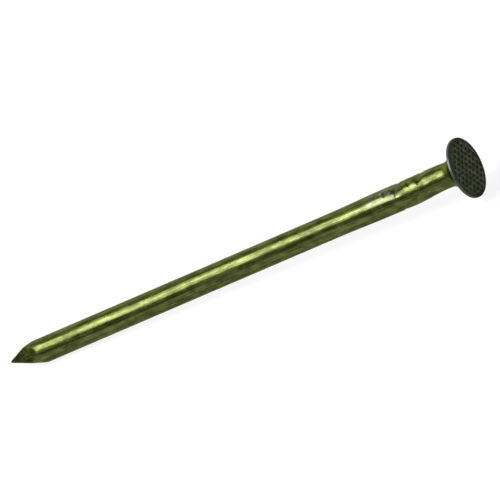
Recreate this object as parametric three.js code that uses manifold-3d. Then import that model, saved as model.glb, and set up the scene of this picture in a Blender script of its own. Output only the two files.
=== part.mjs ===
// A smooth-shank wire nail, cold-headed from one length of round wire and coated.
// It lies along X. The struck face of the head is in the plane x = 0 and looks along +X,
// the centre of that face is the origin, and the tip is at x = -nailLength.
// Turns about the nail's axis are measured from +Z towards -Y.
import * as THREE from "three";
import { mergeVertices } from "three/addons/utils/BufferGeometryUtils.js";
import Module from "manifold-3d";

// Driving dimensions, in millimetres and degrees.
const nailLength = 82.55;
const wireDiameter = 3.76;

// The head: a thin upright rim, a plain conical underside and a hollow round into the shank.
const headDiameter = 9.2;
const rimThickness = 0.36;
const rimRounding = 0.13;
const undersideSlope = 58;
const neckRounding = 2.5;

// The waffle on the struck face: square pits with sloping walls between raised flat ridges.
const wafflePitch = 0.92;
const ridgeWidth = 0.26;
const pitDepth = 0.16;
const pitWallSlope = 40;
const plainRimWidth = 0.5;
const waffleTurn = 22;

// The stretch that the gripping dies hold while the head is struck. It swells a little,
// and each of the two dies leaves a row of uneven cross marks: a short slope towards the tip,
// a narrow floor and a longer slope back up towards the head.
const swellHeight = 0.14;
const swellEnd = 24.5;
const swellRamp = 10.5;
const neckRamp = 6.5;
const gripMarkPlaces = [7.6, 9.3, 11.7, 13.6, 15.2];
const gripMarkDepths = [0.15, 0.07, 0.24, 0.08, 0.05];
const gripMarkFloor = 0.15;
const gripMarkTipSlope = 15;
const gripMarkHeadSlope = 8;
const gripToothHeight = 0.3;
const gripToothHollow = 1.29; // the hollow of a die's tooth against the swollen wire's radius
const gripTurn = 5;

// The point: two steeper and two longer flat facets, pinched to a short blunt edge off the axis.
// The steeper facets face along and against the point's turn, and the longer ones face across it.
const steepFacetSlope = 19;
const longFacetSlope = 14.5;
const tipThickness = 0.28;
const tipWidth = 0.6;
const tipOffset = 0.2;
const tipSideOffset = 0.19;
const pointTurn = -36;

// Mesh fineness, and how far cutting shapes run past the metal.
const sidesAround = 48;
const roundingSteps = 3;
const neckSteps = 7;
const rampSteps = 6;
const overrun = 1;

const wireRadius = wireDiameter / 2;
const headRadius = headDiameter / 2;
const radians = THREE.MathUtils.degToRad;

const wasm = await Module();
wasm.setup();

// A closed three.js geometry as a solid that can be joined and cut.
function solidOf(geometry) {
  const bare = geometry.clone();
  bare.deleteAttribute("normal");
  bare.deleteAttribute("uv");
  const merged = mergeVertices(bare, 1e-5);
  return new wasm.Manifold(
    new wasm.Mesh({
      numProp: 3,
      vertProperties: new Float32Array(merged.getAttribute("position").array),
      triVerts: new Uint32Array(merged.index.array),
    }),
  );
}

// A solid back as a three.js geometry with flat-shaded faces.
function geometryOf(solid) {
  const mesh = solid.getMesh();
  const shared = new THREE.BufferGeometry();
  shared.setAttribute("position", new THREE.BufferAttribute(mesh.vertProperties, mesh.numProp));
  shared.setIndex(new THREE.BufferAttribute(mesh.triVerts, 1));
  const flat = shared.toNonIndexed();
  flat.computeVertexNormals();
  return flat;
}

// A closed solid of revolution about X from a profile of (radius, x) points.
// One of its flat sides faces straight down, so the nail lies on a side and not on an edge.
function turned(profile) {
  const lathe = new THREE.LatheGeometry(profile, sidesAround).rotateZ(-Math.PI / 2);
  return solidOf(lathe.rotateX(Math.PI / sidesAround));
}

// Points along an arc in the (radius, x) plane, from one angle to another, ends included.
function arc(centreRadius, centreX, rounding, fromAngle, toAngle, steps) {
  const points = [];
  for (let i = 0; i <= steps; i++) {
    const angle = radians(fromAngle + ((toAngle - fromAngle) * i) / steps);
    const radius = centreRadius + rounding * Math.cos(angle);
    points.push(new THREE.Vector2(radius, centreX + rounding * Math.sin(angle)));
  }
  return points;
}

// Points along a smooth ramp between two radii, without its first point.
function ramp(fromRadius, toRadius, fromX, toX) {
  const points = [];
  for (let i = 1; i <= rampSteps; i++) {
    const share = i / rampSteps;
    const eased = (1 - Math.cos(Math.PI * share)) / 2;
    const radius = THREE.MathUtils.lerp(fromRadius, toRadius, eased);
    points.push(new THREE.Vector2(radius, THREE.MathUtils.lerp(fromX, toX, share)));
  }
  return points;
}

// The rounded rim of the head, from the struck face round to the start of the underside.
function rimProfile() {
  const centre = headRadius - rimRounding;
  return [
    ...arc(centre, -rimRounding, rimRounding, 90, 0, roundingSteps),
    ...arc(centre, -rimThickness, rimRounding, 0, -undersideSlope, roundingSteps),
  ];
}

// The hollow round between the conical underside and the shank.
// The underside leaves the rim's lower rounding at its own slope, and the round touches both.
function neckProfile() {
  const slope = radians(undersideSlope);
  const coneRadius = headRadius - rimRounding + rimRounding * Math.cos(slope);
  const coneX = -rimThickness - rimRounding * Math.sin(slope);
  const cornerX = coneX - (coneRadius - wireRadius) / Math.tan(slope);
  const touchX = cornerX - neckRounding * Math.tan(slope / 2);
  return arc(wireRadius + neckRounding, touchX, neckRounding, 180 - undersideSlope, 180, neckSteps);
}

// The wire with its head, before the grip marks, the waffle and the point are cut.
function headedWire() {
  const neck = neckProfile();
  const neckEnd = neck[neck.length - 1].y;
  const swollen = wireRadius + swellHeight;
  const profile = [
    new THREE.Vector2(0, 0),
    ...rimProfile(),
    ...neck,
    ...ramp(wireRadius, swollen, neckEnd, neckEnd - neckRamp),
    ...ramp(swollen, wireRadius, -swellEnd + swellRamp, -swellEnd),
    new THREE.Vector2(wireRadius, -nailLength),
    new THREE.Vector2(0, -nailLength),
  ];
  return turned(profile.reverse());
}

// One tooth of a gripping die. Its hollow is wider than the wire, so it bites deepest on the
// die's side, and a deeper mark reaches further round the wire.
function dieTooth(markX, depth, dieTurn) {
  const swollen = wireRadius + swellHeight;
  const innerRadius = swollen * gripToothHollow;
  const ringOffset = innerRadius - swollen + depth;
  const halfFloor = gripMarkFloor / 2;
  const tipMouth = halfFloor + gripToothHeight / Math.tan(radians(gripMarkTipSlope));
  const headMouth = halfFloor + gripToothHeight / Math.tan(radians(gripMarkHeadSlope));
  const profile = [
    new THREE.Vector2(innerRadius, -halfFloor),
    new THREE.Vector2(innerRadius + gripToothHeight, -tipMouth),
    new THREE.Vector2(innerRadius + gripToothHeight, headMouth),
    new THREE.Vector2(innerRadius, halfFloor),
    new THREE.Vector2(innerRadius, -halfFloor),
  ];
  const ring = new THREE.LatheGeometry(profile, sidesAround).rotateZ(-Math.PI / 2);
  ring.translate(markX, 0, -ringOffset);
  return solidOf(ring.rotateX(radians(dieTurn)));
}

function cutGripMarks(metal) {
  let marked = metal;
  gripMarkPlaces.forEach((place, i) => {
    for (const dieTurn of [gripTurn, gripTurn + 180]) {
      marked = marked.subtract(dieTooth(-place, gripMarkDepths[i], dieTurn));
    }
  });
  return marked;
}

// A tapered square peg that cuts one pit, standing proud of the face by the overrun.
function pitPeg(y, z) {
  const pitMouth = wafflePitch - ridgeWidth;
  const flare = Math.tan(radians(pitWallSlope));
  const floorWidth = pitMouth - 2 * pitDepth * flare;
  const topWidth = pitMouth + 2 * overrun * flare;
  const height = pitDepth + overrun;
  const peg = new THREE.CylinderGeometry(topWidth * Math.SQRT1_2, floorWidth * Math.SQRT1_2, height, 4);
  peg.rotateY(Math.PI / 4);
  peg.rotateZ(-Math.PI / 2);
  return peg.translate(height / 2 - pitDepth, y, z);
}

// All the pits of the waffle, kept inside the plain ring at the rim.
// A ridge crossing, not a pit, lies on the nail's axis.
function wafflePits() {
  const fieldRadius = headRadius - plainRimWidth;
  const field = turned([
    new THREE.Vector2(0, -pitDepth - overrun),
    new THREE.Vector2(fieldRadius, -pitDepth - overrun),
    new THREE.Vector2(fieldRadius, overrun),
    new THREE.Vector2(0, overrun),
  ]);
  const reach = Math.ceil(fieldRadius / wafflePitch);
  let pits = null;
  for (let row = -reach; row < reach; row++) {
    for (let column = -reach; column < reach; column++) {
      const y = (row + 0.5) * wafflePitch;
      const z = (column + 0.5) * wafflePitch;
      if (Math.hypot(y, z) < fieldRadius) {
        const peg = solidOf(pitPeg(y, z).rotateX(radians(waffleTurn)));
        pits = pits ? pits.add(peg) : peg;
      }
    }
  }
  return pits.intersect(field);
}

// The space inside the four facets of the point, opening from the blunt tip past the head.
function pointEnvelope() {
  const length = nailLength + overrun;
  const steepSpread = Math.tan(radians(steepFacetSlope));
  const longSpread = Math.tan(radians(longFacetSlope));
  const envelope = new THREE.BoxGeometry(length, 1, 1).translate(length / 2, 0, 0);
  const corners = envelope.getAttribute("position");
  for (let i = 0; i < corners.count; i++) {
    const halfWidth = tipWidth / 2 + corners.getX(i) * longSpread;
    const halfThickness = tipThickness / 2 + corners.getX(i) * steepSpread;
    corners.setY(i, Math.sign(corners.getY(i)) * halfWidth);
    corners.setZ(i, Math.sign(corners.getZ(i)) * halfThickness);
  }
  envelope.translate(-nailLength, -tipSideOffset, tipOffset);
  return solidOf(envelope.rotateX(radians(pointTurn)));
}

const marked = cutGripMarks(headedWire());
const finished = marked.subtract(wafflePits()).intersect(pointEnvelope());

const nail = new THREE.Mesh(
  geometryOf(finished),
  new THREE.MeshStandardMaterial({ color: 0x76823c, roughness: 0.32, metalness: 0.9 }),
);
nail.name = "nail";

const part = new THREE.Group();
part.add(nail);

export default part;
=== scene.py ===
"""A coated wire nail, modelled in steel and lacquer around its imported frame.

The steel is shaped in millimetres in the order a nail machine works: the wire is pointed, its other
end is swollen, necked and upset into a head, the gripping dies leave their cross marks and seams,
and the punch leaves its waffle. The finished mesh is then brought to metres. Turns about the
nail's axis are measured from +Z towards -Y.
"""

import logging
import math
import random
from collections.abc import Callable, Iterator
from contextlib import contextmanager
from dataclasses import dataclass, field
from enum import Enum

import bmesh
import bpy
from mathutils import Matrix, Vector


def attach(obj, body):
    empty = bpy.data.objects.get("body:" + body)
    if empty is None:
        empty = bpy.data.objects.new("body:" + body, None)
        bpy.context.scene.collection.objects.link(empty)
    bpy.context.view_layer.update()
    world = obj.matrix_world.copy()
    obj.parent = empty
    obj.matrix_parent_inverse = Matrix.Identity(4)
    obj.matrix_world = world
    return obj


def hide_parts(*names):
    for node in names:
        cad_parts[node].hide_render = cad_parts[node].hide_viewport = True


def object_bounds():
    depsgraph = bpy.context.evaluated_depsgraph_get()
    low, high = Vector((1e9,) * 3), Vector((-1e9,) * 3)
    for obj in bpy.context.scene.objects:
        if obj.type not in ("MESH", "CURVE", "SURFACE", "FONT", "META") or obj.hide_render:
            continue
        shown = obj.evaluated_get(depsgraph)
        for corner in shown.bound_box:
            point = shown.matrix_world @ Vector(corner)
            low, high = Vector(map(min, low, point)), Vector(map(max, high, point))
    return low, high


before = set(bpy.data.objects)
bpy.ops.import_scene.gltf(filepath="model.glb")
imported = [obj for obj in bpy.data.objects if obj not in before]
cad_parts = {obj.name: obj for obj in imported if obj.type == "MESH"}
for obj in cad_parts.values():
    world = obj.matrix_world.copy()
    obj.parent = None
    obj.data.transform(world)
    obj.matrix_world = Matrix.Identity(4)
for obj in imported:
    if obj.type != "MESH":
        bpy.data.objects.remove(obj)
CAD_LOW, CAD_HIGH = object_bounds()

log = logging.getLogger("nail")

NODE = "nail"
BODY = "root"
METRES = 0.001
MILLIMETRES = 1000.0
MERGE = 0.00005

# Stretches of the framed nail, in millimetres from the struck face, where its radii are read.
RIM_STRETCH = (-0.4, -0.1)
SWELL_STRETCH = (-14.5, -9.5)
WIRE_STRETCH = (-25.0, -24.0)

Station = tuple[float, float]
Band = tuple[float, float]
Colour = tuple[float, float, float]
Size = tuple[float, float, float]


class Pick(Enum):
    """What edit mode selects."""

    VERTICES = "VERT"
    EDGES = "EDGE"
    FACES = "FACE"


class Zone(Enum):
    """The material slots of the nail, in the order in which they are filled."""

    SHANK = 0
    RIM = 1
    FACE = 2
    POINT = 3


# ---------------------------------------------------------------------------------------------
# Bench tools
# ---------------------------------------------------------------------------------------------


def deselect() -> None:
    """Leaves nothing selected, so that the next primitive is shaped alone."""
    if bpy.context.object is not None and bpy.context.object.mode != "OBJECT":
        bpy.ops.object.mode_set(mode="OBJECT")
    bpy.ops.object.select_all(action="DESELECT")


def take_up(piece: bpy.types.Object) -> None:
    """Makes one piece the only selected and the active one.

    Args:
        piece: The object that the next operators act on.
    """
    deselect()
    piece.select_set(True)
    bpy.context.view_layer.objects.active = piece


def newest(name: str) -> bpy.types.Object:
    """Names the primitive that was added last and applies its place, turn and size.

    Args:
        name: The new object's name.

    Returns:
        The object, at the origin, with its place in its mesh.
    """
    piece = bpy.context.object
    piece.name = name
    piece.data.name = name
    bpy.ops.object.transform_apply(location=True, rotation=True, scale=True)
    return piece


@contextmanager
def editing(piece: bpy.types.Object, pick: Pick) -> Iterator[None]:
    """Opens a piece in edit mode, all of it selected, and closes it again.

    Args:
        piece: The mesh object to edit.
        pick: What the selection is made of.

    Yields:
        Nothing; the body of the with statement runs in edit mode.
    """
    take_up(piece)
    bpy.ops.object.mode_set(mode="EDIT")
    bpy.ops.mesh.select_mode(type=pick.value)
    bpy.ops.mesh.select_all(action="SELECT")
    yield
    bpy.ops.object.mode_set(mode="OBJECT")


def select_where(piece: bpy.types.Object, pick: Pick, wanted: Callable[[object], bool]) -> None:
    """Selects the parts of a piece in edit mode for which wanted says yes.

    Args:
        piece: The mesh object, in edit mode.
        pick: What the selection is made of.
        wanted: A test of one vertex, edge or face.
    """
    bpy.ops.mesh.select_mode(type=pick.value)
    bpy.ops.mesh.select_all(action="DESELECT")
    mesh = bmesh.from_edit_mesh(piece.data)
    parts = {Pick.VERTICES: mesh.verts, Pick.EDGES: mesh.edges, Pick.FACES: mesh.faces}[pick]
    for part in parts:
        if wanted(part):
            part.select_set(True)
    mesh.select_flush_mode()
    bmesh.update_edit_mesh(piece.data)


def on_axis(x: float) -> Vector:
    """The point of the nail's axis at a distance from the struck face."""
    return Vector((x, 0, 0))


def draw_out(
    stations: list[Station],
    start: Station,
    centre: Callable[[float], Vector] = on_axis,
) -> None:
    """Extrudes the selected end face along X through a list of stations.

    Args:
        stations: The x and the radius, or half width, that each new ring takes.
        start: The x and the radius of the selected face.
        centre: Where the middle of the ring at an x lies.
    """
    x, radius = start
    for next_x, next_radius in stations:
        step = centre(next_x) - centre(x)
        bpy.ops.mesh.extrude_region_move(TRANSFORM_OT_translate={"value": step})
        share = next_radius / radius
        bpy.ops.transform.resize(value=(1, share, share), center_override=centre(next_x))
        x, radius = next_x, next_radius


def apply_modifier(piece: bpy.types.Object, kind: str, **settings: object) -> None:
    """Adds one modifier to a piece, sets it and applies it.

    Args:
        piece: The object to change.
        kind: Blender's name for the modifier's type.
        **settings: The modifier's own values.
    """
    take_up(piece)
    bpy.ops.object.modifier_add(type=kind)
    modifier = piece.modifiers[-1]
    for name, value in settings.items():
        setattr(modifier, name, value)
    bpy.ops.object.modifier_apply(modifier=modifier.name)


def combine(piece: bpy.types.Object, tool: bpy.types.Object, operation: str) -> None:
    """Cuts a piece with a tool, joins it to the tool or keeps what they share.

    Args:
        piece: The object that stays.
        tool: The object that is used up.
        operation: DIFFERENCE, UNION or INTERSECT.
    """
    apply_modifier(piece, "BOOLEAN", operation=operation, solver="EXACT", object=tool)
    bpy.data.objects.remove(tool)


def copy_of(piece: bpy.types.Object, name: str) -> bpy.types.Object:
    """Copies a piece with a mesh of its own.

    Args:
        piece: The object to copy.
        name: The copy's name.

    Returns:
        The copy, linked to the scene.
    """
    twin = piece.copy()
    twin.data = piece.data.copy()
    twin.name = name
    bpy.context.scene.collection.objects.link(twin)
    return twin


def join_all(pieces: list[bpy.types.Object], name: str) -> bpy.types.Object:
    """Joins several meshes into one object with its place in its mesh.

    Args:
        pieces: The objects to join.
        name: The joined object's name.

    Returns:
        The one object that is left.
    """
    deselect()
    for piece in pieces:
        piece.select_set(True)
    bpy.context.view_layer.objects.active = pieces[0]
    bpy.ops.object.join()
    return newest(name)


def clean(piece: bpy.types.Object) -> None:
    """Merges doubled vertices and turns every face outwards."""
    with editing(piece, Pick.VERTICES):
        bpy.ops.mesh.remove_doubles(threshold=MERGE)
        bpy.ops.mesh.normals_make_consistent(inside=False)


def arc(centre: Station, rounding: float, start: float, end: float, steps: int) -> list[Station]:
    """Points along an arc in the plane of x and radius.

    Args:
        centre: The arc's centre, as x and radius.
        rounding: The arc's own radius.
        start: The first point's angle from the outward radius towards +X, in degrees.
        end: The last point's angle, in degrees.
        steps: How many stretches the arc has.

    Returns:
        The points from start to end, both included.
    """
    points = []
    for step in range(steps + 1):
        angle = math.radians(start + (end - start) * step / steps)
        x = centre[0] + rounding * math.sin(angle)
        points.append((x, centre[1] + rounding * math.cos(angle)))
    return points


def ramp(start: Station, end: Station, steps: int) -> list[Station]:
    """Points along a smooth ramp from one radius to another, without the first."""
    points = []
    for step in range(1, steps + 1):
        share = step / steps
        eased = (1 - math.cos(math.pi * share)) / 2
        x = start[0] + (end[0] - start[0]) * share
        points.append((x, start[1] + (end[1] - start[1]) * eased))
    return points


# ---------------------------------------------------------------------------------------------
# The steel
# ---------------------------------------------------------------------------------------------


def cad_radius(low: float, high: float) -> float:
    """The furthest that the framed nail reaches from its axis in a stretch of its length.

    Args:
        low: The stretch's lowest x, in millimetres.
        high: The stretch's highest x, in millimetres.

    Returns:
        The radius in millimetres.
    """
    places = [vertex.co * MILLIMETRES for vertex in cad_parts[NODE].data.vertices]
    return max(math.hypot(place.y, place.z) for place in places if low < place.x < high)


@dataclass
class Wire:
    """The drawn wire and the four-sided point pinched on its end, in millimetres and degrees."""

    radius: float
    tip_x: float
    root_x: float
    sides: int = 128
    steep_slope: float = 19.0
    long_slope: float = 14.5
    tip_thickness: float = 0.28
    tip_width: float = 0.6
    tip_offset: float = 0.2
    tip_side_offset: float = 0.19
    point_turn: float = -36.0
    point_reach: float = 7.0
    facet_rounding: float = 0.07
    rounding_steps: int = 3
    sharp: float = 12.0

    def build(self) -> bpy.types.Object:
        """Makes the pointed wire, still open to shaping at its root.

        Returns:
            The wire, lying along X from the tip to the root.
        """
        deselect()
        bpy.ops.mesh.primitive_cylinder_add(
            vertices=self.sides,
            radius=self.radius,
            depth=self.root_x - self.tip_x,
            location=((self.root_x + self.tip_x) / 2, 0, 0),
            rotation=(0, math.pi / 2, 0),
        )
        wire = newest("coated_nail")
        self._pinch(wire)
        self._soften(wire)
        return wire

    def _pinch(self, wire: bpy.types.Object) -> None:
        """Bisects the wire by the planes of the four facets."""
        sides = (
            (self.steep_slope, self.tip_thickness / 2 + self.tip_offset),
            (self.long_slope, self.tip_width / 2 + self.tip_side_offset),
            (self.steep_slope, self.tip_thickness / 2 - self.tip_offset),
            (self.long_slope, self.tip_width / 2 - self.tip_side_offset),
        )
        for quarter, (lean, reach) in enumerate(sides):
            slope = math.radians(lean)
            outward = radial(self.point_turn + 90 * quarter)
            with editing(wire, Pick.FACES):
                bpy.ops.mesh.bisect(
                    plane_co=on_axis(self.tip_x) + outward * reach,
                    plane_no=outward * math.cos(slope) - on_axis(math.sin(slope)),
                    use_fill=True,
                    clear_outer=True,
                    threshold=MERGE,
                )

    def _soften(self, wire: bpy.types.Object) -> None:
        """Rounds the edges of the point a little, as the pinching leaves them."""
        limit = self.tip_x + self.point_reach
        sharp = math.radians(self.sharp)
        with editing(wire, Pick.EDGES):
            select_where(
                wire,
                Pick.EDGES,
                lambda edge: all(end.co.x < limit for end in edge.verts)
                and edge.calc_face_angle(0) > sharp,
            )
            bpy.ops.mesh.bevel(
                offset=self.facet_rounding,
                segments=self.rounding_steps,
                affect="EDGES",
                clamp_overlap=True,
            )


def radial(turn: float) -> Vector:
    """The direction out from the axis at a turn from +Z towards -Y, in degrees."""
    angle = math.radians(turn)
    return Vector((0, -math.sin(angle), math.cos(angle)))


@dataclass
class Head:
    """The swell that the dies hold, the neck and the upset head, in millimetres and degrees."""

    wire_radius: float
    radius: float
    root_x: float
    swell_radius: float
    swell_ramp: float = 10.5
    neck_ramp: float = 6.5
    neck_rounding: float = 2.5
    underside_slope: float = 58.0
    rim_thickness: float = 0.36
    rim_rounding: float = 0.13
    neck_steps: int = 14
    ramp_steps: int = 12
    rim_steps: int = 5
    neck_push: float = 0.2
    head_push: float = 0.09
    push_turn: float = -30.0
    push_from: float = -10.5
    push_to: float = -4.5
    push_eased: float = -1.0

    def centre(self, x: float) -> Vector:
        """Where the metal's middle lies, as the blow pushes the neck and head to one side."""
        pushed = min(max((x - self.push_from) / (self.push_to - self.push_from), 0), 1)
        eased = min(max((x - self.push_to) / (self.push_eased - self.push_to), 0), 1)
        shares = [(1 - math.cos(math.pi * share)) / 2 for share in (pushed, eased)]
        push = self.neck_push * shares[0] + (self.head_push - self.neck_push) * shares[1]
        return on_axis(x) + radial(self.push_turn) * push

    def stations(self) -> list[Station]:
        """The outline from the root of the wire up to the struck face.

        Returns:
            The x and radius of each ring, the last one being the edge of the struck face.
        """
        slope = math.radians(self.underside_slope)
        rim_centre = self.radius - self.rim_rounding
        cone_radius = rim_centre + self.rim_rounding * math.cos(slope)
        cone_x = -self.rim_thickness - self.rim_rounding * math.sin(slope)
        corner_x = cone_x - (cone_radius - self.wire_radius) / math.tan(slope)
        neck_x = corner_x - self.neck_rounding * math.tan(slope / 2)
        neck_centre = (neck_x, self.wire_radius + self.neck_rounding)
        slack = 180 - self.underside_slope
        lower_centre = (-self.rim_thickness, rim_centre)
        upper_centre = (-self.rim_rounding, rim_centre)
        swell_start = (self.root_x, self.wire_radius)
        swell_top = (self.root_x + self.swell_ramp, self.swell_radius)
        swell_end = (neck_x - self.neck_ramp, self.swell_radius)
        return [
            *ramp(swell_start, swell_top, self.ramp_steps),
            (self.push_from, self.swell_radius),
            swell_end,
            *ramp(swell_end, (neck_x, self.wire_radius), self.ramp_steps),
            *arc(neck_centre, self.neck_rounding, 180, slack, self.neck_steps)[1:],
            *arc(lower_centre, self.rim_rounding, -self.underside_slope, 0, self.rim_steps),
            *arc(upper_centre, self.rim_rounding, 0, 90, self.rim_steps),
        ]

    def shape(self, wire: bpy.types.Object) -> None:
        """Draws the root of the wire out into the swell, the neck and the head.

        Args:
            wire: The pointed wire, whose root face is closed and square.
        """
        with editing(wire, Pick.FACES):
            select_where(
                wire,
                Pick.FACES,
                lambda face: face.calc_center_median().x > self.root_x - MERGE,
            )
            draw_out(self.stations(), (self.root_x, self.wire_radius), self.centre)


@dataclass
class GrippingDies:
    """The two dies that hold the wire while its head is struck, in millimetres and degrees.

    A tooth has a short slope towards the tip, a narrow floor and a longer slope back towards the
    head. Its hollow is wider than the wire, so it bites deepest on the die's own side. Nearer the
    head each die has one long shallow land.
    """

    swell_radius: float
    places: tuple[float, ...] = (7.6, 9.3, 11.7, 13.6, 15.2)
    depths: tuple[float, ...] = (0.15, 0.07, 0.24, 0.08, 0.05)
    floor: float = 0.15
    tip_slope: float = 15.0
    head_slope: float = 8.0
    height: float = 0.3
    land_place: float = 5.3
    land_length: float = 2.8
    land_depth: float = 0.08
    land_turn: float = 48.0
    hollow: float = 1.29
    turn: float = 5.0
    corner: float = 0.05
    corner_steps: int = 3
    steps: int = 96
    skew: float = 4.0
    seed: int = 11

    def _tooth(self, name: str, floor: float, tip_run: float, head_run: float) -> bpy.types.Object:
        """Models one tooth as a half ring that just touches the wire.

        Args:
            name: The tooth's name.
            floor: The length of its floor along the wire.
            tip_run: How far its side towards the tip leans away.
            head_run: How far its side towards the head leans away.

        Returns:
            The tooth round +Z, with its groove at x = 0.
        """
        inner = self.swell_radius * self.hollow
        offset = inner - self.swell_radius
        middle = inner + self.height / 2
        widths = (floor / self.height, (floor + tip_run + head_run) / self.height)
        deselect()
        bpy.ops.mesh.primitive_plane_add(size=self.height, location=(0, middle, -offset))
        tooth = newest(name)
        with editing(tooth, Pick.VERTICES):
            select_where(tooth, Pick.VERTICES, lambda corner: corner.co.y > middle)
            bpy.ops.transform.resize(value=(widths[1], 1, 1), center_override=(0, middle, 0))
            bpy.ops.transform.translate(value=((head_run - tip_run) / 2, 0, 0))
            select_where(tooth, Pick.VERTICES, lambda corner: corner.co.y < middle)
            bpy.ops.transform.resize(value=(widths[0], 1, 1), center_override=(0, middle, 0))
            bpy.ops.mesh.bevel(offset=self.corner, segments=self.corner_steps, affect="VERTICES")
            bpy.ops.mesh.select_all(action="SELECT")
            bpy.ops.mesh.spin(
                steps=self.steps,
                angle=-math.pi,
                center=(0, 0, -offset),
                axis=(1, 0, 0),
            )
        clean(tooth)
        return tooth

    def _press(
        self,
        steel: bpy.types.Object,
        model: bpy.types.Object,
        place: float,
        depth: float,
        turn: float,
        skew: float,
    ) -> None:
        """Presses a copy of a tooth into the steel.

        Args:
            steel: The headed nail.
            model: The tooth, just touching the wire at +Z.
            place: How far from the struck face it bites.
            depth: How deep it bites.
            turn: Its turn about the nail's axis.
            skew: How far it stands askew, in degrees.
        """
        tooth = copy_of(model, "pressed_tooth")
        take_up(tooth)
        tooth.location = (0, 0, -depth)
        tooth.rotation_euler.z = math.radians(skew)
        bpy.ops.object.transform_apply(location=True, rotation=True, scale=True)
        tooth.location.x = -place
        tooth.rotation_euler.x = math.radians(turn)
        bpy.ops.object.transform_apply(location=True, rotation=True, scale=True)
        combine(steel, tooth, "DIFFERENCE")

    def mark(self, steel: bpy.types.Object) -> None:
        """Presses both dies into the steel.

        Args:
            steel: The headed nail.
        """
        chance = random.Random(self.seed)
        tip_run = self.height / math.tan(math.radians(self.tip_slope))
        head_run = self.height / math.tan(math.radians(self.head_slope))
        tooth = self._tooth("die_tooth", self.floor, tip_run, head_run)
        land = self._tooth("die_land", self.land_length, head_run, head_run)
        for side in (0, 180):
            self._press(steel, land, self.land_place, self.land_depth, self.land_turn + side, 0)
            for place, depth in zip(self.places, self.depths):
                skew = self.skew * chance.uniform(-1, 1)
                self._press(steel, tooth, place, depth, self.turn + side, skew)
        bpy.data.objects.remove(tooth)
        bpy.data.objects.remove(land)


@dataclass
class DieSeams:
    """The two low fins of metal squeezed into the gap between the dies, in millimetres."""

    swell_radius: float
    turn: float
    middle_x: float = -10.6
    length: float = 5.0
    width: float = 0.3
    height: float = 0.02
    depth: float = 0.06
    segments: int = 24
    rings: int = 48

    def raise_on(self, steel: bpy.types.Object) -> None:
        """Joins a long low fin to each side of the swell.

        Args:
            steel: The gripped nail.
        """
        for side in (90, -90):
            outward = radial(self.turn + side)
            deselect()
            bpy.ops.mesh.primitive_uv_sphere_add(
                segments=self.segments,
                ring_count=self.rings,
                radius=0.5,
                location=on_axis(self.middle_x) + outward * (self.swell_radius - self.depth),
                rotation=(math.radians(self.turn + side), 0, 0),
            )
            fin = bpy.context.object
            fin.scale = (self.length, self.width, 2 * (self.height + self.depth))
            fin = newest("die_seam")
            combine(steel, fin, "UNION")


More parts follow.
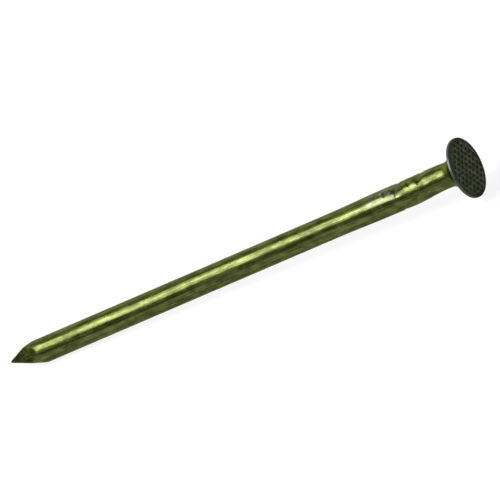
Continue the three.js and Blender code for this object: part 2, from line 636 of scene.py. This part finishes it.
@dataclass
class Waffle:
    """The square pits that the punch leaves in the struck face, in millimetres and degrees."""

    head_radius: float
    pitch: float = 0.92
    ridge: float = 0.2
    depth: float = 0.16
    wall: float = 40.0
    floor_rounding: float = 0.06
    mouth_rounding: float = 0.06
    mouth_end: float = 84.0
    plain_ring: float = 0.5
    turn: float = 22.0
    corner: float = 0.05
    corner_steps: int = 2
    rounding_steps: int = 3
    lift: float = 0.004
    overrun: float = 0.08
    uneven: float = 0.1
    uneven_above: float = 0.4
    lean: float = 0.12
    field_sides: int = 128
    seed: int = 5

    def _peg_stations(self) -> list[Station]:
        """The half widths of a peg of the punch from the pit's floor up past its mouth."""
        wall = math.radians(self.wall)
        end = math.radians(self.mouth_end)
        mouth_x = self.lift - self.mouth_rounding * (math.sin(end) - math.sin(wall))
        mouth_half = (self.pitch - self.ridge) / 2
        wall_half = mouth_half - self.mouth_rounding * (math.cos(wall) - math.cos(end))
        floor_x = -self.depth + self.floor_rounding * (1 - math.sin(wall))
        wall_run = (mouth_x - floor_x) * math.tan(wall)
        floor_half = wall_half - wall_run - self.floor_rounding * math.cos(wall)
        stations = []
        for step in range(self.rounding_steps + 1):
            turn = math.radians(90 + (self.wall - 90) * step / self.rounding_steps)
            rise = self.floor_rounding * (1 - math.sin(turn))
            stations.append((-self.depth + rise, floor_half + self.floor_rounding * math.cos(turn)))
        for step in range(self.rounding_steps + 1):
            turn = wall + (end - wall) * step / self.rounding_steps
            rise = self.mouth_rounding * (math.sin(turn) - math.sin(wall))
            spread = self.mouth_rounding * (math.cos(wall) - math.cos(turn))
            stations.append((mouth_x + rise, wall_half + spread))
        stations.append((self.overrun, mouth_half))
        return stations

    def _peg(self) -> bpy.types.Object:
        """Models one peg of the punch, a rounded square drawn up through its stations."""
        first, *rest = self._peg_stations()
        deselect()
        bpy.ops.mesh.primitive_plane_add(
            size=2 * first[1],
            location=(first[0], 0, 0),
            rotation=(0, math.pi / 2, 0),
        )
        peg = newest("punch_peg")
        with editing(peg, Pick.VERTICES):
            bpy.ops.mesh.bevel(offset=self.corner, segments=self.corner_steps, affect="VERTICES")
            bpy.ops.mesh.select_all(action="SELECT")
            bpy.ops.mesh.select_mode(type=Pick.FACES.value)
            draw_out(rest, first)
        clean(peg)
        return peg

    def _field(self) -> bpy.types.Object:
        """Models the sloping-sided disc that the pits stay inside."""
        spread = math.tan(math.radians(self.wall))
        middle = self.head_radius - self.plain_ring
        below = 2 * self.depth
        deselect()
        bpy.ops.mesh.primitive_cone_add(
            vertices=self.field_sides,
            radius1=middle - below * spread,
            radius2=middle + 2 * self.overrun * spread,
            depth=below + 2 * self.overrun,
            location=((2 * self.overrun - below) / 2, 0, 0),
            rotation=(0, math.pi / 2, 0),
        )
        return newest("waffle_field")

    def punch(self, steel: bpy.types.Object) -> None:
        """Strikes the waffle into the face.

        Args:
            steel: The headed nail.
        """
        chance = random.Random(self.seed)
        model = self._peg()
        reach = math.ceil(self.head_radius / self.pitch)
        limit = self.head_radius - self.plain_ring - self.ridge / 2
        pegs = []
        for row in range(-reach, reach):
            for column in range(-reach, reach):
                y, z = (row + 0.5) * self.pitch, (column + 0.5) * self.pitch
                if math.hypot(y, z) < limit:
                    peg = copy_of(model, f"punch_peg_{len(pegs)}")
                    peg.location = (0, y, z)
                    lean = 1 + self.lean * (y - z) / (2 * self.head_radius)
                    peg.scale.x = lean * (1 + self.uneven * chance.uniform(-1, self.uneven_above))
                    pegs.append(peg)
        bpy.data.objects.remove(model)
        punch = join_all(pegs, "punch")
        punch.rotation_euler.x = math.radians(self.turn)
        take_up(punch)
        bpy.ops.object.transform_apply(location=True, rotation=True, scale=True)
        combine(punch, self._field(), "INTERSECT")
        combine(steel, punch, "DIFFERENCE")


# ---------------------------------------------------------------------------------------------
# The finishes
# ---------------------------------------------------------------------------------------------


class Recipe:
    """Adds and joins the nodes of one finish, on places that count in millimetres."""

    def __init__(self, name: str) -> None:
        """Starts an empty material.

        Args:
            name: The material's name.
        """
        self.material = bpy.data.materials.new(name)
        self.material.use_nodes = True
        self.tree = self.material.node_tree
        self.tree.nodes.clear()
        self.place = self.node("ShaderNodeTexCoord").outputs["Object"]

    def node(self, kind: str, inputs: dict | None = None, **settings: object) -> bpy.types.Node:
        """Adds one node.

        Args:
            kind: Blender's name for the node's type.
            inputs: A value or a socket for each named or numbered input.
            **settings: The node's own properties.

        Returns:
            The node.
        """
        node = self.tree.nodes.new(kind)
        for name, value in settings.items():
            setattr(node, name, value)
        for name, value in (inputs or {}).items():
            if isinstance(value, bpy.types.NodeSocket):
                self.tree.links.new(value, node.inputs[name])
            else:
                node.inputs[name].default_value = value
        return node

    def scaled(self, size: Size, shift: Size = (0, 0, 0)) -> bpy.types.NodeSocket:
        """Places measured in units of a given size along each axis, in millimetres."""
        scale = tuple(MILLIMETRES / length if length else 0 for length in size)
        inputs = {"Vector": self.place, "Scale": scale, "Location": shift}
        return self.node("ShaderNodeMapping", inputs).outputs["Vector"]

    def noise(
        self, size: Size, detail: float = 3, rough: float = 0.5, shift: Size = (0, 0, 0)
    ) -> bpy.types.NodeSocket:
        """Cloudy noise from 0 to 1.

        Args:
            size: The size of a cloud along X, Y and Z, in millimetres.
            detail: How many finer layers it has.
            rough: How strong the finer layers are.
            shift: Where the pattern starts.

        Returns:
            The noise.
        """
        place = self.scaled(size, shift)
        inputs = {"Vector": place, "Scale": 1.0, "Detail": detail, "Roughness": rough}
        return self.node("ShaderNodeTexNoise", inputs).outputs["Fac"]

    def specks(self, size: Size, shift: Size = (0, 0, 0)) -> bpy.types.NodeSocket:
        """The distance to the nearest of many scattered points, in units of their spacing."""
        inputs = {"Vector": self.scaled(size, shift), "Scale": 1.0}
        return self.node("ShaderNodeTexVoronoi", inputs).outputs["Distance"]

    def between(
        self,
        value: bpy.types.NodeSocket,
        start: float,
        end: float,
        low: float = 0.0,
        high: float = 1.0,
    ) -> bpy.types.NodeSocket:
        """Fades smoothly from one value to another.

        Args:
            value: What the fade follows.
            start: The value at which the fade starts.
            end: The value at which it ends.
            low: The result up to the start.
            high: The result past the end.

        Returns:
            The faded value.
        """
        inputs = {"Value": value, "From Min": start, "From Max": end, "To Min": low, "To Max": high}
        fade = self.node("ShaderNodeMapRange", inputs, interpolation_type="SMOOTHSTEP")
        return fade.outputs["Result"]

    def count(
        self,
        operation: str,
        first: bpy.types.NodeSocket | float,
        second: bpy.types.NodeSocket | float,
    ) -> bpy.types.NodeSocket:
        """Combines two values by one of the Math node's operations."""
        return self.node("ShaderNodeMath", {0: first, 1: second}, operation=operation).outputs[0]

    def blend(
        self,
        share: bpy.types.NodeSocket,
        first: bpy.types.NodeSocket | Colour,
        second: bpy.types.NodeSocket | Colour,
    ) -> bpy.types.NodeSocket:
        """Mixes two colours.

        Args:
            share: How much of the second colour there is.
            first: The colour at 0.
            second: The colour at 1.

        Returns:
            The mixed colour.
        """
        colours = [
            value if isinstance(value, bpy.types.NodeSocket) else (*value, 1.0)
            for value in (first, second)
        ]
        inputs = {0: share, 6: colours[0], 7: colours[1]}
        return self.node("ShaderNodeMix", inputs, data_type="RGBA").outputs[2]

    def along(self) -> bpy.types.NodeSocket:
        """The x of a place in millimetres: 0 at the struck face, falling towards the tip."""
        parts = self.node("ShaderNodeSeparateXYZ", {"Vector": self.scaled((1, 1, 1))})
        return parts.outputs["X"]

    def outward(self) -> bpy.types.NodeSocket:
        """The distance from the nail's axis, in millimetres."""
        flat = self.scaled((0, 1, 1))
        return self.node("ShaderNodeVectorMath", {0: flat}, operation="LENGTH").outputs["Value"]

    def towards(self, turn: float) -> bpy.types.NodeSocket:
        """The distance from the axis in millimetres, in the direction at a turn."""
        inputs = {0: self.scaled((1, 1, 1)), 1: radial(turn)}
        return self.node("ShaderNodeVectorMath", inputs, operation="DOT_PRODUCT").outputs["Value"]

    def bump(
        self,
        height: bpy.types.NodeSocket,
        depth: float,
        under: bpy.types.NodeSocket | None = None,
    ) -> bpy.types.NodeSocket:
        """Raises fine relief.

        Args:
            height: The relief from 0 to 1.
            depth: How high 1 stands, in millimetres.
            under: The normal that it is raised on.

        Returns:
            The new normal.
        """
        inputs = {"Height": height, "Distance": depth * METRES, "Strength": 1.0}
        if under is not None:
            inputs["Normal"] = under
        return self.node("ShaderNodeBump", inputs).outputs["Normal"]

    def finish(self, inputs: dict) -> bpy.types.Material:
        """Ends the recipe in its shader.

        Args:
            inputs: A value or a socket for each named input of the shader.

        Returns:
            The material.
        """
        shader = self.node("ShaderNodeBsdfPrincipled", inputs)
        self.node("ShaderNodeOutputMaterial", {"Surface": shader.outputs["BSDF"]})
        return self.material


@dataclass(frozen=True)
class CoatedSteel:
    """Drawn steel under a thin olive lacquer, rubbed bright where it sticks out, in millimetres."""

    name: str
    film: Colour = (0.058, 0.071, 0.0085)
    thin_film: Colour = (0.112, 0.128, 0.036)
    thick_film: Colour = (0.029, 0.038, 0.0034)
    steel: Colour = (0.3, 0.3, 0.28)
    grime: Colour = (0.014, 0.016, 0.008)
    smooth: float = 0.27
    dull: float = 0.42
    coat: float = 0.1
    coat_roughness: float = 0.2
    coat_ior: float = 2.0
    edge_tint: Colour = (0.45, 0.48, 0.33)
    grain: Size = (12.0, 0.16, 0.16)
    mottle: Size = (1.9, 0.75, 0.75)
    ripple: Size = (7.0, 0.7, 0.7)
    speck: Size = (0.5, 0.32, 0.32)
    patch: Size = (4.0, 1.1, 1.1)
    ragged: Size = (0.5, 0.5, 0.5)
    grain_depth: float = 0.009
    ripple_depth: float = 0.02
    speck_depth: float = 0.01
    line_band: Band = (0.62, 0.7)
    patch_band: Band = (0.5, 0.66)
    ragged_band: Band = (0.25, 0.75)
    glint_band: Band = (0.6, 0.68)
    thin_band: Band = (0.94, 1.2)
    thick_band: Band = (1.0, 0.8)
    grime_band: Band = (0.2, 0.08)
    speck_band: Band = (0.05, 0.25)
    dull_band: Band = (0.35, 0.68)
    scratches: float = 1.0
    rubbed_radius: float = 4.42
    rubbed_width: float = 0.2
    gripped_from: float = -16.0
    gripped_to: float = -12.5
    gripped_fade: float = 2.0
    glint: Size = (0.9, 0.35, 0.35)
    worn_film: Colour = (0.1, 0.108, 0.06)
    worn_share: float = 0.6
    die_turn: float = 5.0
    die_near: float = 1.1
    die_full: float = 1.4

    def gripped(self, recipe: Recipe) -> bpy.types.NodeSocket:
        """How far the dies have worn the film, from 0 to 1."""
        along = recipe.along()
        start = recipe.between(along, self.gripped_from - self.gripped_fade, self.gripped_from)
        end = recipe.between(along, self.gripped_to + self.gripped_fade, self.gripped_to)
        facing = recipe.count("ABSOLUTE", recipe.towards(self.die_turn), 0.0)
        side = recipe.between(facing, self.die_near, self.die_full)
        return recipe.count("MULTIPLY", side, recipe.count("MULTIPLY", start, end))

    def bare(self, recipe: Recipe) -> bpy.types.NodeSocket:
        """Where the film is gone and steel shows, from 0 to 1."""
        lines = recipe.between(recipe.noise(self.grain, detail=5, rough=0.7), *self.line_band)
        patches = recipe.noise(self.patch, rough=0.6, shift=(3, 1, 7))
        patches = recipe.between(patches, *self.patch_band)
        scratched = recipe.count("MULTIPLY", lines, patches)
        scratched = recipe.count("MULTIPLY", scratched, self.scratches)
        ragged = recipe.noise(self.ragged, detail=4, rough=0.65)
        ragged = recipe.between(ragged, *self.ragged_band, -1, 1)
        edge = recipe.count("MULTIPLY", ragged, self.rubbed_width)
        reach = recipe.count("ADD", recipe.outward(), edge)
        rubbed = recipe.between(reach, self.rubbed_radius, self.rubbed_radius + self.rubbed_width)
        glints = recipe.noise(self.glint, rough=0.6, shift=(6, 4, 2))
        glints = recipe.between(glints, *self.glint_band)
        glints = recipe.count("MULTIPLY", glints, self.gripped(recipe))
        return recipe.count("MAXIMUM", recipe.count("MAXIMUM", scratched, rubbed), glints)

    def colour(self, recipe: Recipe, bare: bpy.types.NodeSocket) -> bpy.types.NodeSocket:
        """The film in its uneven thickness, with grime in its pits and steel where it is gone."""
        streaks = recipe.noise(self.grain, detail=4, rough=0.6, shift=(5, 2, 9))
        clouds = recipe.noise(self.mottle, detail=4, rough=0.6)
        uneven = recipe.count("ADD", streaks, clouds)
        thin = recipe.between(uneven, *self.thin_band)
        thick = recipe.between(uneven, *self.thick_band)
        film = recipe.blend(thin, self.film, self.thin_film)
        film = recipe.blend(thick, film, self.thick_film)
        worn = recipe.count("MULTIPLY", self.gripped(recipe), self.worn_share)
        film = recipe.blend(worn, film, self.worn_film)
        pits = recipe.between(recipe.specks(self.speck), *self.grime_band)
        film = recipe.blend(pits, film, self.grime)
        return recipe.blend(bare, film, self.steel)

    def roughness(self, recipe: Recipe, bare: bpy.types.NodeSocket) -> bpy.types.NodeSocket:
        """Smooth film with duller streaks and rubbed steel."""
        streaks = recipe.noise(self.grain, detail=4, rough=0.6, shift=(1, 8, 3))
        uneven = recipe.between(streaks, *self.dull_band, self.smooth, self.dull)
        return recipe.count("MAXIMUM", uneven, recipe.count("MULTIPLY", bare, self.dull))

    def relief(self, recipe: Recipe) -> bpy.types.NodeSocket:
        """Lengthwise drawing lines on a slightly wavy film, with fine pits."""
        waves = recipe.noise(self.ripple, shift=(2, 2, 2))
        lines = recipe.noise(self.grain, detail=5, rough=0.65, shift=(5, 2, 9))
        pits = recipe.between(recipe.specks(self.speck), *self.speck_band)
        relief = recipe.bump(waves, self.ripple_depth)
        relief = recipe.bump(lines, self.grain_depth, relief)
        return recipe.bump(pits, self.speck_depth, relief)

    def make(self) -> bpy.types.Material:
        """Mixes the finish.

        Returns:
            The material.
        """
        recipe = Recipe(self.name)
        bare = self.bare(recipe)
        return recipe.finish(
            {
                "Base Color": self.colour(recipe, bare),
                "Metallic": 1.0,
                "Specular Tint": (*self.edge_tint, 1.0),
                "Roughness": self.roughness(recipe, bare),
                "Normal": self.relief(recipe),
                "Coat Weight": self.coat,
                "Coat Roughness": self.coat_roughness,
                "Coat IOR": self.coat_ior,
            }
        )


@dataclass(frozen=True)
class StruckSteel(CoatedSteel):
    """The punched face: dull, with painted shade darkening its pits, so that its ridges stand
    lighter.
    """

    film: Colour = (0.049, 0.054, 0.034)
    thin_film: Colour = (0.094, 0.098, 0.082)
    thick_film: Colour = (0.025, 0.029, 0.017)
    steel: Colour = (0.13, 0.135, 0.12)
    smooth: float = 0.36
    dull: float = 0.6
    coat: float = 0.04
    coat_roughness: float = 0.3
    grain: Size = (0.6, 0.6, 0.6)
    mottle: Size = (1.2, 1.2, 1.2)
    speck: Size = (0.22, 0.22, 0.22)
    ripple: Size = (0.4, 0.4, 0.4)
    scratches: float = 0.6
    # The colour of the painted shade in the pits.
    pit_shade: Colour = (0.036, 0.04, 0.026)
    pit_shade_start: float = -0.005
    pit_shade_end: float = -0.05
    cloud: Size = (0.35, 0.35, 0.35)
    cloud_band: Band = (0.2, 0.8)
    cloud_depth: float = 0.06
    ring: Colour = (0.016, 0.018, 0.014)
    ring_start: float = 3.8
    ring_end: float = 4.15
    ring_share: float = 0.75

    def colour(self, recipe: Recipe, bare: bpy.types.NodeSocket) -> bpy.types.NodeSocket:
        """The face's film, with painted shade that darkens it the deeper it lies, and darker in a
        ring near its edge.
        """
        face = super().colour(recipe, bare)
        uneven = recipe.noise(self.cloud, rough=0.6, shift=(4, 4, 4))
        uneven = recipe.between(uneven, *self.cloud_band, -self.cloud_depth, self.cloud_depth)
        depth = recipe.count("ADD", recipe.along(), uneven)
        # Painted shade: the deeper a place lies, the more it takes the shade colour.
        face = recipe.blend(recipe.between(depth, self.pit_shade_start, self.pit_shade_end), face, self.pit_shade)
        outward = recipe.outward()
        ring = recipe.between(outward, self.ring_start, self.ring_end, 0.0, self.ring_share)
        return recipe.blend(ring, face, self.ring)


@dataclass(frozen=True)
class ShearedSteel(CoatedSteel):
    """The pinched facets of the point, with the lines that the cutters drag along them."""

    grain: Size = (1.4, 0.12, 0.12)
    grain_depth: float = 0.02
    ripple: Size = (0.9, 0.35, 0.35)


# ---------------------------------------------------------------------------------------------
# The whole nail
# ---------------------------------------------------------------------------------------------


@dataclass
class Nail:
    """The finished nail, shaped in the order in which its maker shapes it."""

    tip_x: float
    wire_radius: float
    swell_radius: float
    head_radius: float
    root_x: float = -24.5
    smooth_angle: float = 30.0
    point_reach: float = 8.0
    facet_lean: float = 0.15
    edge: float = 0.3
    finishes: dict[Zone, CoatedSteel] = field(default_factory=dict)

    def build(self) -> bpy.types.Object:
        """Shapes, dresses and hands over the nail.

        Returns:
            The nail in metres, at the origin.
        """
        wire = Wire(self.wire_radius, self.tip_x, self.root_x)
        steel = wire.build()
        log.info("pointed wire: %d faces", len(steel.data.polygons))
        Head(self.wire_radius, self.head_radius, self.root_x, self.swell_radius).shape(steel)
        log.info("upset head: %d faces", len(steel.data.polygons))
        dies = GrippingDies(self.swell_radius)
        dies.mark(steel)
        log.info("grip marks: %d faces", len(steel.data.polygons))
        DieSeams(self.swell_radius, dies.turn).raise_on(steel)
        log.info("die seams: %d faces", len(steel.data.polygons))
        Waffle(self.head_radius).punch(steel)
        log.info("waffle: %d faces", len(steel.data.polygons))
        clean(steel)
        self._dress(steel)
        self._to_metres(steel)
        return steel

    def _zone(self, face: bpy.types.MeshPolygon) -> Zone:
        """Tells which finish a face of the nail takes, by its place and the way it looks."""
        middle = face.center
        radius = math.hypot(middle.y, middle.z)
        if middle.x > -self.edge and radius < self.head_radius - self.edge / 2:
            return Zone.FACE
        if radius > self.head_radius - self.edge:
            return Zone.RIM
        if middle.x < self.tip_x + self.point_reach and face.normal.x < -self.facet_lean:
            return Zone.POINT
        return Zone.SHANK

    def _dress(self, steel: bpy.types.Object) -> None:
        """Gives each zone its finish and smooths the shading."""
        steel.data.materials.clear()
        for zone in Zone:
            steel.data.materials.append(self.finishes[zone].make())
        for face in steel.data.polygons:
            face.material_index = self._zone(face).value
        take_up(steel)
        bpy.ops.object.shade_smooth_by_angle(angle=math.radians(self.smooth_angle))

    def _to_metres(self, steel: bpy.types.Object) -> None:
        """Brings the finished mesh from millimetres to metres."""
        take_up(steel)
        steel.scale = (METRES, METRES, METRES)
        bpy.ops.object.transform_apply(location=True, rotation=True, scale=True)


# ---------------------------------------------------------------------------------------------
# The studio
# ---------------------------------------------------------------------------------------------


class Outline(Enum):
    """The outline of a soft box, and the share of its rectangle that it fills."""

    RECTANGLE = 1.0
    ELLIPSE = math.pi / 4


@dataclass(frozen=True)
class SoftBox:
    """One soft box, in metres and degrees, aimed so that the wire mirrors it to the camera.

    Its turn about the nail's axis is measured from +Z towards -Y.
    """

    name: str
    turn: float
    distance: float
    along: float
    across: float
    radiance: float
    shift: float
    outline: Outline

    def hang(self, aim: Vector, axis_share: float) -> None:
        """Hangs the box.

        Args:
            aim: The point that it faces.
            axis_share: How far its direction leans along the nail's axis, from 0 to 1.
        """
        turn = math.radians(self.turn)
        across = math.sqrt(1 - axis_share**2)
        direction = Vector((-axis_share, -across * math.sin(turn), across * math.cos(turn)))
        length = (Vector((1, 0, 0)) - direction * direction.x).normalized()
        deselect()
        place = aim + direction * self.distance + length * self.shift
        bpy.ops.object.light_add(type="AREA", location=place)
        box = bpy.context.object
        box.name = self.name
        box.data.shape = self.outline.name
        box.data.size = self.along
        box.data.size_y = self.across
        box.data.energy = self.radiance * math.pi * self.along * self.across * self.outline.value
        box.visible_camera = False
        axes = Matrix((length, direction.cross(length), direction)).transposed()
        box.rotation_euler = axes.to_euler()


@dataclass(frozen=True)
class Studio:
    """The floor that the nail lies on, the soft light and the camera, in metres and degrees."""

    head_radius: float
    shoulder_x: float = -0.0774
    shoulder_radius: float = 0.00188
    floor_size: float = 6.0
    floor_colour: Colour = (0.14, 0.14, 0.14)
    floor_roughness: float = 0.9
    floor_gloss: float = 0.1
    floor_glow: float = 0.875
    world_colour: Colour = (1.0, 1.0, 1.0)
    world_strength: float = 0.18
    key: SoftBox = SoftBox("key_box", 25.5, 0.5, 0.3, 0.33, 11.5, 0.034, Outline.ELLIPSE)
    fill: SoftBox = SoftBox("fill_box", -60.0, 0.8, 1.4, 0.75, 1.4, 0.0, Outline.RECTANGLE)
    view_turn: float = 60.25
    view_side: float = 60.0
    view_roll: float = -39.27
    view_distance: float = 2.288
    lens: float = 1137.6
    sensor: float = 36.0
    clip_start: float = 0.01
    clip_end: float = 20.0
    target_x: float = -0.03919
    target_off: float = 0.001652

    def floor(self) -> None:
        """Lays the floor against the head's rim and the shoulder of the point."""
        tilt = math.atan2(self.head_radius - self.shoulder_radius, -self.shoulder_x)
        deselect()
        bpy.ops.mesh.primitive_plane_add(
            size=self.floor_size,
            location=(0, 0, -self.head_radius),
        )
        floor = bpy.context.object
        floor.name = "studio_floor"
        floor.rotation_euler.y = tilt
        material = bpy.data.materials.new("pale_floor")
        material.use_nodes = True
        shader = material.node_tree.nodes["Principled BSDF"]
        shader.inputs["Base Color"].default_value = (*self.floor_colour, 1)
        shader.inputs["Roughness"].default_value = self.floor_roughness
        shader.inputs["Specular IOR Level"].default_value = self.floor_gloss
        shader.inputs["Emission Color"].default_value = (1, 1, 1, 1)
        shader.inputs["Emission Strength"].default_value = self.floor_glow
        floor.data.materials.append(material)

    def light(self) -> None:
        """Hangs the two soft boxes over the nail in pale surroundings."""
        world = bpy.data.worlds.new("pale_room")
        world.use_nodes = True
        background = world.node_tree.nodes["Background"]
        background.inputs["Color"].default_value = (*self.world_colour, 1)
        background.inputs["Strength"].default_value = self.world_strength
        bpy.context.scene.world = world
        aim = Vector((self.target_x, 0, 0))
        for box in (self.key, self.fill):
            box.hang(aim, math.cos(math.radians(self.view_turn)))

    def camera(self) -> None:
        """Sets the camera on its line of sight, rolled as it was held."""
        turn = math.radians(self.view_turn)
        side = math.radians(self.view_side)
        roll = math.radians(self.view_roll)
        towards = Vector(
            (math.cos(turn), -math.sin(turn) * math.sin(side), math.sin(turn) * math.cos(side))
        )
        right = Vector((0, 0, 1)).cross(towards).normalized()
        up = towards.cross(right)
        right, up = (
            right * math.cos(roll) + up * math.sin(roll),
            up * math.cos(roll) - right * math.sin(roll),
        )
        target = Vector((self.target_x, 0, 0)) + up * self.target_off
        deselect()
        bpy.ops.object.camera_add(location=target + towards * self.view_distance)
        camera = bpy.context.object
        camera.name = "camera"
        camera.rotation_euler = Matrix((right, up, towards)).transposed().to_euler()
        camera.data.lens = self.lens
        camera.data.sensor_width = self.sensor
        camera.data.clip_start = self.clip_start
        camera.data.clip_end = self.clip_end
        bpy.context.scene.camera = camera
        bpy.context.scene.view_settings.view_transform = "Standard"


def main() -> None:
    """Builds the nail, lays it in the studio and reports what was made."""
    logging.basicConfig(level=logging.INFO, format="%(name)s: %(message)s")
    head_radius = cad_radius(*RIM_STRETCH)
    finishes = {
        Zone.SHANK: CoatedSteel("coated_wire"),
        Zone.RIM: CoatedSteel(
            "rubbed_rim",
            film=(0.032, 0.038, 0.027),
            steel=(0.085, 0.092, 0.083),
            smooth=0.4,
            dull=0.55,
        ),
        Zone.FACE: StruckSteel("struck_face"),
        Zone.POINT: ShearedSteel("sheared_point"),
    }
    nail = Nail(
        tip_x=CAD_LOW[0] * MILLIMETRES,
        wire_radius=cad_radius(*WIRE_STRETCH),
        swell_radius=cad_radius(*SWELL_STRETCH),
        head_radius=head_radius,
        finishes=finishes,
    )
    steel = nail.build()
    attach(steel, BODY)
    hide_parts(NODE)
    triangles = sum(len(face.vertices) - 2 for face in steel.data.polygons)
    log.info("%s: one cold-headed piece, %d triangles", steel.name, triangles)
    studio = Studio(head_radius * METRES)
    studio.floor()
    studio.light()
    studio.camera()


if __name__ == "__main__":
    main()
